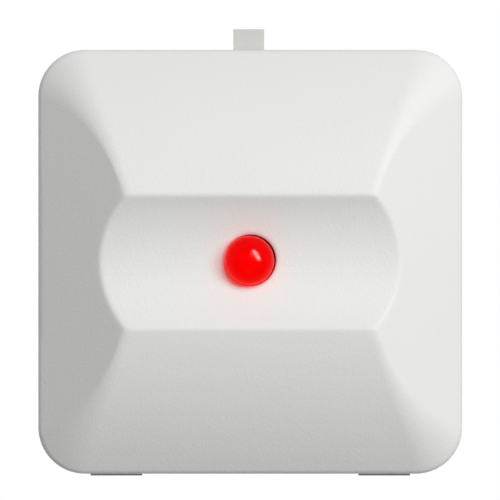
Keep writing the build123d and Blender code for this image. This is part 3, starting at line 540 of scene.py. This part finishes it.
def mouldedEpoxy(name, black, bandColour=None, bandX=(0.0, 0.0)):
    # black moulding epoxy, matt and slightly gritty, plain or with a band printed across it
    material, place = newMaterial(name)
    grit = addNode(material, "ShaderNodeTexNoise", {"Scale": 1 / (epoxy["grit"] * mm), "Detail": 2.0},
                   {"Vector": place})
    smooth, rough = epoxy["roughness"]
    dull = addNode(material, "ShaderNodeMapRange", {"To Min": smooth, "To Max": rough},
                   {"Value": grit.outputs["Fac"]})
    relief = addNode(material, "ShaderNodeBump",
                     {"Strength": 0.3, "Distance": epoxy["gritDepth"] * mm},
                     {"Height": grit.outputs["Fac"]})
    looks = {"Roughness": dull.outputs["Result"], "Normal": relief.outputs["Normal"]}
    if bandColour:
        split = addNode(material, "ShaderNodeSeparateXYZ", links={"Vector": place})
        after = addNode(material, "ShaderNodeMath", {"operation": "GREATER_THAN", 1: bandX[0] * mm},
                        {0: split.outputs["X"]})
        before = addNode(material, "ShaderNodeMath", {"operation": "LESS_THAN", 1: bandX[1] * mm},
                         {0: split.outputs["X"]})
        band = addNode(material, "ShaderNodeMath", {"operation": "MULTIPLY"},
                       {0: after.outputs["Value"], 1: before.outputs["Value"]})
        tone = addNode(material, "ShaderNodeMix",
                       {"data_type": "RGBA", 6: toLinear(black), 7: toLinear(bandColour)},
                       {0: band.outputs["Value"]})
        looks["Base Color"] = tone.outputs[2]
    shader = addNode(material, "ShaderNodeBsdfPrincipled",
                     {"IOR": 1.55, "Base Color": toLinear(black)}, looks)
    return closeMaterial(material, shader.outputs["BSDF"])


def redEpoxy():
    # diffused red epoxy: milky red that light sinks into
    material, place = newMaterial("redEpoxy")
    milk = addNode(material, "ShaderNodeTexNoise", {"Scale": 1 / (epoxy["milk"] * mm), "Detail": 2.0},
                   {"Vector": place})
    tone = addNode(material, "ShaderNodeMix",
                   {"data_type": "RGBA", 6: toLinear(epoxy["lowRed"]), 7: toLinear(epoxy["red"])},
                   {0: milk.outputs["Fac"]})
    shader = addNode(material, "ShaderNodeBsdfPrincipled",
                     {"Roughness": 0.2, "IOR": 1.53, "Subsurface Weight": 0.3,
                      "Subsurface Radius": (1.0, 0.1, 0.1), "Subsurface Scale": epoxy["sink"] * mm},
                     {"Base Color": tone.outputs[2]})
    return closeMaterial(material, shader.outputs["BSDF"])


capacitor = {
    "x": 15.0, "z": 11.5, "top": -12.8,     # mm, the axis and the top's y
    "radius": 3.15, "curl": 0.55,           # mm, the sleeve curls over the top's edge
    "topDepth": 0.3,                        # mm behind the top that still count as bare metal
    "stripeHalfWidth": 1.1,                 # mm
    "scoreWidth": 0.18, "scoreReach": 1.9,  # mm
    "sleeve": "#14182C",
    "stripe": "#B9BCC6",
    "can": "#C6C8C9",
    # painted shade for the vent grooves stamped in the can's top
    "grooveShade": "#5F6162",
    "roughness": (0.25, 0.4),
}


def shrinkSleeve():
    # dark glossy sleeve with a pale stripe, and the can's bare aluminium on top, with a darker cross
    # painted on it as the shade in its stamped vent grooves
    material, place = newMaterial("shrinkSleeve")
    middle = Vector((capacitor["x"], capacitor["top"], capacitor["z"])) * mm
    offset = addNode(material, "ShaderNodeVectorMath", {"operation": "SUBTRACT", 1: middle}, {0: place})
    split = addNode(material, "ShaderNodeSeparateXYZ", links={"Vector": offset.outputs["Vector"]})
    x, y, z = (split.outputs[axis] for axis in "XYZ")
    acrossX, acrossZ = (addNode(material, "ShaderNodeMath", {"operation": "ABSOLUTE"},
                                {0: side}).outputs["Value"] for side in (x, z))
    squareX, squareZ = (addNode(material, "ShaderNodeMath", {"operation": "POWER", 1: 2.0},
                                {0: side}).outputs["Value"] for side in (acrossX, acrossZ))
    squares = addNode(material, "ShaderNodeMath", {"operation": "ADD"},
                      {0: squareX, 1: squareZ}).outputs["Value"]
    outward = addNode(material, "ShaderNodeMath", {"operation": "SQRT"},
                      {0: squares}).outputs["Value"]
    nearAxis = addNode(material, "ShaderNodeMath", {"operation": "MINIMUM"},
                       {0: acrossX, 1: acrossZ}).outputs["Value"]
    limits = ((outward, capacitor["radius"] - capacitor["curl"]), (y, capacitor["topDepth"]),
              (acrossZ, capacitor["stripeHalfWidth"]), (x, 0.0),
              (nearAxis, capacitor["scoreWidth"] / 2), (outward, capacitor["scoreReach"]))
    inside, onTop, narrow, leftSide, onGrooveShade, reached = (
        addNode(material, "ShaderNodeMath", {"operation": "LESS_THAN", 1: limit * mm},
                {0: measured}).outputs["Value"] for measured, limit in limits)
    bare, stripe, grooveShadeCross = (
        addNode(material, "ShaderNodeMath", {"operation": "MULTIPLY"},
                {0: first, 1: second}).outputs["Value"]
        for first, second in ((inside, onTop), (narrow, leftSide), (onGrooveShade, reached)))
    film = addNode(material, "ShaderNodeMix",
                   {"data_type": "RGBA", 6: toLinear(capacitor["sleeve"]),
                    7: toLinear(capacitor["stripe"])}, {0: stripe})
    # the vent cross is painted darker, as shade in its grooves
    can = addNode(material, "ShaderNodeMix",
                  {"data_type": "RGBA", 6: toLinear(capacitor["can"]),
                   7: toLinear(capacitor["grooveShade"])}, {0: grooveShadeCross})
    tone = addNode(material, "ShaderNodeMix", {"data_type": "RGBA"},
                   {0: bare, 6: film.outputs[2], 7: can.outputs[2]})
    smooth, rough = capacitor["roughness"]
    sheen = addNode(material, "ShaderNodeMapRange", {"To Min": smooth, "To Max": rough},
                    {"Value": bare})
    shader = addNode(material, "ShaderNodeBsdfPrincipled", {"IOR": 1.5},
                     {"Base Color": tone.outputs[2], "Metallic": bare,
                      "Roughness": sheen.outputs["Result"]})
    return closeMaterial(material, shader.outputs["BSDF"])


dress(resistorLacquer(), "resistors")
dress(mouldedEpoxy("diodeEpoxy", epoxy["diodeBlack"], epoxy["diodeBand"], epoxy["diodeBandX"]),
      "flyback_diode")
dress(mouldedEpoxy("transistorEpoxy", epoxy["transistorBlack"]), "driver_transistor")
dress(redEpoxy(), "indicator_led")
dress(shrinkSleeve(), "smoothing_capacitor")
print("inside dressed")


# the relay's coil

coil = {
    "startX": -18.08, "axisY": -11.5, "axisZ": 14.2,    # mm
    "wire": 0.32,           # mm across the enamel
    "radius": 2.32,         # mm to the middle of the wire
    "turns": 37,
    "stepsPerTurn": 24,
    "wireSides": 8,
    "barrelRadius": 2.26,   # mm, the layers below
    "barrelEdge": 0.15,     # mm, rounded
    "endWire": 0.2,         # mm across, the two ends that run to the pins
    # their route in mm: x, y and how far above or below the axis
    "endRoute": ((-18.0, -9.1, 1.2), (-18.15, -8.75, 1.7), (-19.1, -8.45, 2.4),
                 (-19.55, -8.1, 3.3), (-19.6, -7.75, 3.6)),
}


def rod(route, radius, closed=False, resolution=2):
    # a round line along a route in mm, built point by point and thickened
    bpy.ops.object.select_all(action="DESELECT")
    bpy.ops.mesh.primitive_plane_add(size=mm, location=Vector(route[0]) * mm)
    bpy.ops.object.mode_set(mode="EDIT")
    bpy.ops.mesh.merge(type="CENTER")
    for before, after in zip(route, route[1:]):
        step = (Vector(after) - Vector(before)) * mm
        bpy.ops.mesh.extrude_vertices_move(TRANSFORM_OT_translate={"value": step})
    if closed:
        bpy.ops.mesh.select_all(action="SELECT")
        bpy.ops.mesh.remove_doubles(threshold=0.001 * mm)
    bpy.ops.object.mode_set(mode="OBJECT")
    bpy.ops.object.convert(target="CURVE")
    line = bpy.context.object
    line.data.bevel_depth = radius * mm
    line.data.bevel_resolution = resolution
    line.data.use_fill_caps = True
    bpy.ops.object.convert(target="MESH")
    return bpy.context.object


def windCoil():
    # the wire's section is screwed along the axis, over a barrel that stands for the layers below
    axisStart = Vector((coil["startX"], coil["axisY"], coil["axisZ"])) * mm
    bpy.ops.object.select_all(action="DESELECT")
    bpy.ops.mesh.primitive_circle_add(vertices=coil["wireSides"], radius=coil["wire"] / 2 * mm,
                                      location=axisStart)
    wire = bpy.context.object
    bpy.ops.object.mode_set(mode="EDIT")
    bpy.ops.transform.rotate(value=math.radians(90), orient_axis="X", center_override=axisStart)
    bpy.ops.transform.translate(value=(0, 0, coil["radius"] * mm))
    bpy.ops.object.mode_set(mode="OBJECT")
    wind = wire.modifiers.new("wind", "SCREW")
    wind.axis = "X"
    wind.steps = wind.render_steps = coil["stepsPerTurn"]
    wind.iterations = coil["turns"]
    wind.screw_offset = coil["wire"] * mm
    bpy.ops.object.modifier_apply(modifier="wind")
    bpy.ops.object.mode_set(mode="EDIT")
    bpy.ops.mesh.select_all(action="SELECT")
    bpy.ops.mesh.fill_holes(sides=coil["wireSides"])
    bpy.ops.mesh.select_all(action="SELECT")
    bpy.ops.mesh.normals_make_consistent(inside=False)
    bpy.ops.object.mode_set(mode="OBJECT")
    length = coil["turns"] * coil["wire"] * mm
    bpy.ops.object.select_all(action="DESELECT")
    bpy.ops.mesh.primitive_cylinder_add(vertices=40, radius=coil["barrelRadius"] * mm, depth=length,
                                        location=axisStart + Vector((length / 2, 0, 0)),
                                        rotation=(0, math.radians(90), 0))
    barrel = bpy.context.object
    soften = barrel.modifiers.new("soften", "BEVEL")
    soften.width = coil["barrelEdge"] * mm
    soften.segments = 2
    bpy.ops.object.modifier_apply(modifier="soften")
    ends = [rod([(x, y, coil["axisZ"] + side * away) for x, y, away in coil["endRoute"]],
                coil["endWire"] / 2) for side in (-1, 1)]
    pickOnly(wire, barrel, *ends)
    bpy.ops.object.join()
    finishPiece(wire, "coilWinding", copperWire)
    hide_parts("relay_winding")


windCoil()


# copper tracks under the mask

tracks = {
    "height": 0.045,        # mm above the board
    "wide": 1.1,            # mm
    "narrow": 0.6,
    "colour": "#1A7042",
    "colourLow": "#146138",
    "cloudSize": 1.5,       # mm
}
# routes by x and z in mm, each from pin to pin
wideRoutes = [
    [(-14.75, -6.1), (-14.75, 6.0), (-19.6, 10.6), (-22.6, 13.6), (-22.6, 20.0), (-19.1, 23.5),
     (-16.0, 23.5)],
    [(9.5, -6.1), (9.5, -3.0), (5.9, 0.6)],
    [(13.0, -6.1), (13.0, -1.6), (10.8, 0.6)],
    [(16.5, -6.1), (16.5, 0.6)],
]
narrowRoutes = [
    [(-11.25, -6.1), (-11.25, 3.0), (-8.05, 6.2), (0.0, 6.2), (3.33, 9.53), (3.33, 12.5)],
    [(-19.6, 17.8), (-17.4, 20.0), (-1.0, 20.0), (4.6, 14.4), (4.6, 12.5)],
    [(-6.0, 23.5), (-6.0, 20.0)],
    [(5.87, 12.5), (5.87, 19.07), (7.0, 20.2)],
    [(17.0, 20.2), (19.5, 17.7), (19.5, 14.75), (16.25, 11.5)],
    [(13.75, 11.5), (8.45, 6.2), (0.0, 6.2)],
    [(1.27, 0.3), (3.17, 2.2), (20.5, 2.2), (22.5, 4.2), (22.5, 25.0), (20.5, 27.0), (17.0, 27.0)],
    [(-1.27, 0.3), (-1.27, 6.2)],
    [(7.0, 27.0), (7.0, 23.6)],
    [(17.0, 23.6), (17.0, 20.2)],
]


def coatedCopper():
    # copper under the mask: a paler, yellower green than the bare laminate, slightly raised
    material, place = newMaterial("maskOverCopper")
    cloud = addNode(material, "ShaderNodeTexNoise",
                    {"Scale": 1 / (tracks["cloudSize"] * mm), "Detail": 2.0}, {"Vector": place})
    tone = addNode(material, "ShaderNodeMix",
                   {"data_type": "RGBA", 6: toLinear(tracks["colourLow"]),
                    7: toLinear(tracks["colour"])}, {0: cloud.outputs["Fac"]})
    shader = addNode(material, "ShaderNodeBsdfPrincipled", {"Roughness": 0.22, "IOR": 1.52},
                     {"Base Color": tone.outputs[2]})
    return closeMaterial(material, shader.outputs["BSDF"])


def layOnBoard(lines, height, name, material):
    # presses round lines flat onto the board's front and joins them
    pickOnly(*lines)
    bpy.ops.object.join()
    piece = bpy.context.object
    bpy.ops.object.transform_apply(location=True, rotation=True, scale=True)
    front = board["front"] * mm
    reach = max(abs(v.co.y - front) for v in piece.data.vertices)
    bpy.ops.object.mode_set(mode="EDIT")
    bpy.ops.mesh.select_all(action="SELECT")
    bpy.ops.transform.resize(value=(1, height * mm / reach, 1), center_override=(0, front, 0))
    bpy.ops.object.mode_set(mode="OBJECT")
    return finishPiece(piece, name, material)


def onBoard(route):
    return [(x, board["front"], z) for x, z in route]


maskOverCopper = coatedCopper()
for name, width, routes in (("powerTracks", tracks["wide"], wideRoutes),
                            ("signalTracks", tracks["narrow"], narrowRoutes)):
    lines = [rod(onBoard(route), width / 2) for route in routes]
    layOnBoard(lines, tracks["height"], name, maskOverCopper)


# solder joints, one fillet modelled and copied to every pin

joint = {                   # profiles in mm: height over the board, radius
    "rear": ((0.0, 0.95), (0.05, 0.8), (0.22, 0.55), (0.45, 0.42), (0.7, 0.34)),
    "front": ((0.0, 0.85), (0.05, 0.72), (0.12, 0.5), (0.2, 0.4)),
    "sides": 18,
}
# pins by x and z in mm
rearPins = [(-14.75, -6.1), (-11.25, -6.1), (9.5, -6.1), (13.0, -6.1), (16.5, -6.1),
            (-19.6, 10.6), (-19.6, 17.8), (-4.75, 17.8), (-2.925, 14.2), (-12.15, 14.2),
            (-1.27, 0.3), (1.27, 0.3), (13.75, 11.5), (16.25, 11.5)]
leadPins = [(7.0, 27.0), (17.0, 27.0), (7.0, 23.6), (17.0, 23.6), (7.0, 20.2), (17.0, 20.2),
            (-16.0, 23.5), (-6.0, 23.5), (3.33, 12.5), (4.6, 12.5), (5.87, 12.5)]
testPads = [(5.9, 0.6), (10.8, 0.6), (16.5, 0.6)]


def meltFillet(profile, y, outward):
    # a disc on the board's face, pulled out and narrowed along the profile
    bpy.ops.object.select_all(action="DESELECT")
    bpy.ops.mesh.primitive_circle_add(vertices=joint["sides"], radius=profile[0][1] * mm,
                                      fill_type="NGON", location=(0, y * mm, 0),
                                      rotation=(math.radians(-90 * outward), 0, 0))
    fillet = bpy.context.object
    bpy.ops.object.mode_set(mode="EDIT")
    for (low, wide), (high, slim) in zip(profile, profile[1:]):
        rise = (0, outward * (high - low) * mm, 0)
        bpy.ops.mesh.extrude_region_move(TRANSFORM_OT_translate={"value": rise})
        middle = (0, (y + outward * high) * mm, 0)
        bpy.ops.transform.resize(value=(slim / wide,) * 3, center_override=middle)
    bpy.ops.mesh.select_all(action="SELECT")
    bpy.ops.mesh.normals_make_consistent(inside=False)
    bpy.ops.object.mode_set(mode="OBJECT")
    return fillet


def copyTo(first, places):
    # copies of one piece, each with its own mesh, moved by x and z in mm
    copies = []
    for x, z in places:
        pickOnly(first)
        bpy.ops.object.duplicate(linked=False)
        copy = bpy.context.object
        copy.location.x = x * mm
        copy.location.z = z * mm
        copies.append(copy)
    bpy.data.objects.remove(first)
    return copies


joints = copyTo(meltFillet(joint["rear"], board["rear"], 1), rearPins + leadPins)
joints += copyTo(meltFillet(joint["front"], board["front"], -1), leadPins + testPads)
pickOnly(*joints)
bpy.ops.object.join()
finishPiece(bpy.context.object, "solderJoints", platedMetal("tinSolder"))


# white print on the board

printed = {
    "line": 0.16,           # mm wide
    "height": 0.06,         # mm above the board, over the tracks
    "colour": "#E6E7E2",
    "thinColour": "#CDD2CA",
    "thinSize": 0.3,        # mm between places where the board shows through
}


def legendInk():
    # screen-printed ink: chalky white, thin enough that the edges waver
    material, place = newMaterial("legendInk")
    thin = addNode(material, "ShaderNodeTexNoise",
                   {"Scale": 1 / (printed["thinSize"] * mm), "Detail": 3.0}, {"Vector": place})
    tone = addNode(material, "ShaderNodeMix",
                   {"data_type": "RGBA", 6: toLinear(printed["thinColour"]),
                    7: toLinear(printed["colour"])}, {0: thin.outputs["Fac"]})
    shader = addNode(material, "ShaderNodeBsdfPrincipled", {"Roughness": 0.6},
                     {"Base Color": tone.outputs[2]})
    return closeMaterial(material, shader.outputs["BSDF"])


def frameOf(left, right, low, high):
    return [(left, low), (right, low), (right, high), (left, high), (left, low)]


def ringOf(x, z, radius, sides=28):
    angles = [2 * math.pi * n / sides for n in range(sides + 1)]
    return [(x + radius * math.cos(a), z + radius * math.sin(a)) for a in angles]


outlines = [frameOf(-21.4, -0.6, 8.8, 19.6), frameOf(-14.0, -8.0, 21.8, 25.2),
            frameOf(8.3, 15.7, 25.5, 28.5), frameOf(8.3, 15.7, 22.1, 25.1),
            frameOf(8.3, 15.7, 18.7, 21.7), ringOf(0.0, 0.3, 2.3), ringOf(15.0, 11.5, 3.6),
            ringOf(4.6, 13.1, 2.9)]
openLines = [[(-17.3, -11.7), (-17.3, -4.6), (-8.7, -4.6), (-8.7, -11.7)],
             [(6.95, -11.7), (6.95, -4.6), (19.05, -4.6), (19.05, -11.7)],
             [(19.0, 8.1), (19.0, 9.5)], [(18.3, 8.8), (19.7, 8.8)],      # plus sign
             [(-14.6, 22.4), (-14.6, 24.6)]]
inkLines = [rod(onBoard(route), printed["line"] / 2, closed=True, resolution=1) for route in outlines]
inkLines += [rod(onBoard(route), printed["line"] / 2, resolution=1) for route in openLines]
layOnBoard(inkLines, printed["height"], "boardLegend", legendInk())


# studio: white surroundings, a pale floor, a large softbox from the upper right, and another whose
# light only the dome takes

studio = {
    "fill": 0.183,                      # light from all round
    "backdropFill": 0.68,               # light from the white backdrop behind
    "lowFill": 0.06,                    # what a pale table adds from below
    "floorZ": -77.5,                    # mm
    "floorY": -50.0,                    # mm, its middle
    "floorSize": (1.2, 1.1),            # m
    "floorThickness": 20.0,             # mm
    "floorEdge": 4.0,                   # mm, rounded
    "floorColour": "#EDEDEB",
    "floorLowColour": "#E9E9E6",
    "floorPatch": 60.0,                 # mm
    "keyFrom": (0.42, -0.84, 0.34),     # from the right, the front and above
    "keyDistance": 1.2,                 # m, for both softboxes
    "keySize": (1.1, 0.4),              # m, for both softboxes
    "keyRoll": -35.0,                   # degrees
    "keyWatts": 13.0,
    "sparkFrom": (0.535, -0.735, 0.415),        # a second softbox, seen only in the dome's polish
    "sparkRoll": -64.0,                 # degrees
    "sparkWatts": 170.0,
}


def whiteSurroundings():
    # seen straight or mirrored the world is white, but it lights the object only softly
    world = bpy.data.worlds.new("studio")
    world.use_nodes = True
    world.node_tree.nodes.clear()
    bpy.context.scene.world = world
    rays = addNode(world, "ShaderNodeLightPath")
    direct = addNode(world, "ShaderNodeMath", {"operation": "MAXIMUM"},
                     {0: rays.outputs["Is Camera Ray"], 1: rays.outputs["Is Glossy Ray"]})
    seen = addNode(world, "ShaderNodeMath", {"operation": "MAXIMUM"},
                   {0: direct.outputs["Value"], 1: rays.outputs["Is Transmission Ray"]})
    sky = addNode(world, "ShaderNodeTexCoord")
    direction = addNode(world, "ShaderNodeSeparateXYZ", links={"Vector": sky.outputs["Generated"]})
    behind = addNode(world, "ShaderNodeMapRange",
                     {"From Min": 0.0, "From Max": 0.25, "To Min": studio["fill"],
                      "To Max": studio["backdropFill"]}, {"Value": direction.outputs["Y"]})
    below = addNode(world, "ShaderNodeMapRange",
                    {"From Min": 0.0, "From Max": -0.5, "To Min": 0.0, "To Max": studio["lowFill"]},
                    {"Value": direction.outputs["Z"]})
    fill = addNode(world, "ShaderNodeMath", {"operation": "ADD"},
                   {0: behind.outputs["Result"], 1: below.outputs["Result"]})
    light = addNode(world, "ShaderNodeBackground", {"Color": (1, 1, 1, 1)},
                    {"Strength": fill.outputs["Value"]})
    white = addNode(world, "ShaderNodeBackground", {"Color": (1, 1, 1, 1), "Strength": 1.0})
    blend = addNode(world, "ShaderNodeMixShader",
                    links={0: seen.outputs["Value"], 1: light.outputs["Background"],
                           2: white.outputs["Background"]})
    addNode(world, "ShaderNodeOutputWorld", links={"Surface": blend.outputs["Shader"]})


def layFloor():
    material, place = newMaterial("paintedFloor")       # matt paint, faintly uneven
    cloud = addNode(material, "ShaderNodeTexNoise",
                    {"Scale": 1 / (studio["floorPatch"] * mm), "Detail": 3.0}, {"Vector": place})
    tone = addNode(material, "ShaderNodeMix",
                   {"data_type": "RGBA", 6: toLinear(studio["floorLowColour"]),
                    7: toLinear(studio["floorColour"])}, {0: cloud.outputs["Fac"]})
    shader = addNode(material, "ShaderNodeBsdfPrincipled", {"Roughness": 0.8},
                     {"Base Color": tone.outputs[2]})
    closeMaterial(material, shader.outputs["BSDF"])
    bpy.ops.object.select_all(action="DESELECT")
    bpy.ops.mesh.primitive_plane_add(
        size=1.0, location=(0, studio["floorY"] * mm, studio["floorZ"] * mm))
    floor = bpy.context.object
    floor.name = "studioFloor"
    bpy.ops.object.mode_set(mode="EDIT")
    bpy.ops.transform.resize(value=(*studio["floorSize"], 1))
    downward = (0, 0, -studio["floorThickness"] * mm)
    bpy.ops.mesh.extrude_region_move(TRANSFORM_OT_translate={"value": downward})
    bpy.ops.mesh.select_all(action="SELECT")
    bpy.ops.mesh.normals_make_consistent(inside=False)
    bpy.ops.object.mode_set(mode="OBJECT")
    rounded = floor.modifiers.new("rounded", "BEVEL")
    rounded.width = studio["floorEdge"] * mm
    rounded.segments = 3
    bpy.ops.object.modifier_apply(modifier="rounded")
    bpy.ops.object.transform_apply(location=True, rotation=True, scale=True)
    floor.data.materials.append(material)
    floor.visible_diffuse = False       # it takes the shadow but throws no light up at the object


def hangSoftbox(name, towards, roll, watts):
    # both boxes have one size and distance, and face the object with a roll of their own
    light = bpy.data.lights.new(name, "AREA")
    light.shape = "RECTANGLE"
    light.size, light.size_y = studio["keySize"]
    light.energy = watts
    lamp = bpy.data.objects.new(name, light)
    bpy.context.scene.collection.objects.link(lamp)
    lamp.location = Vector(towards).normalized() * studio["keyDistance"]
    lamp.rotation_mode = "QUATERNION"
    turned = Quaternion((0, 0, 1), math.radians(roll))
    lamp.rotation_quaternion = (-lamp.location).to_track_quat("-Z", "Y") @ turned
    return lamp


whiteSurroundings()
layFloor()
hangSoftbox("keySoftbox", studio["keyFrom"], studio["keyRoll"], studio["keyWatts"])
spark = hangSoftbox("domeSpark", studio["sparkFrom"], studio["sparkRoll"], studio["sparkWatts"])
spark.visible_diffuse = False
spark.light_linking.receiver_collection = bpy.data.collections.new("domeOnly")
spark.light_linking.receiver_collection.objects.link(nodes["indicator_lens"])

view = {
    "lens": 400.0, "sensor": 36.0,      # mm, a long lens from straight in front
    "frameWidth": 96.7,                 # mm across the picture at the object
    "focusDepth": 7.5,                  # mm in front of the wall, where that width holds
    "aimX": -0.05, "aimZ": 2.28,        # mm
    "clipEnd": 100.0,                   # m
}
lens = bpy.data.cameras.new("camera")
lens.lens = view["lens"]
lens.sensor_width = view["sensor"]
lens.clip_end = view["clipEnd"]
camera = bpy.data.objects.new("camera", lens)
bpy.context.scene.collection.objects.link(camera)
distance = view["frameWidth"] / view["sensor"] * view["lens"]
camera.location = Vector((view["aimX"], -(distance + view["focusDepth"]), view["aimZ"])) * mm
camera.rotation_euler = (math.radians(90), 0, 0)
bpy.context.scene.camera = camera
bpy.context.scene.view_settings.view_transform = "Standard"
print("studio ready")
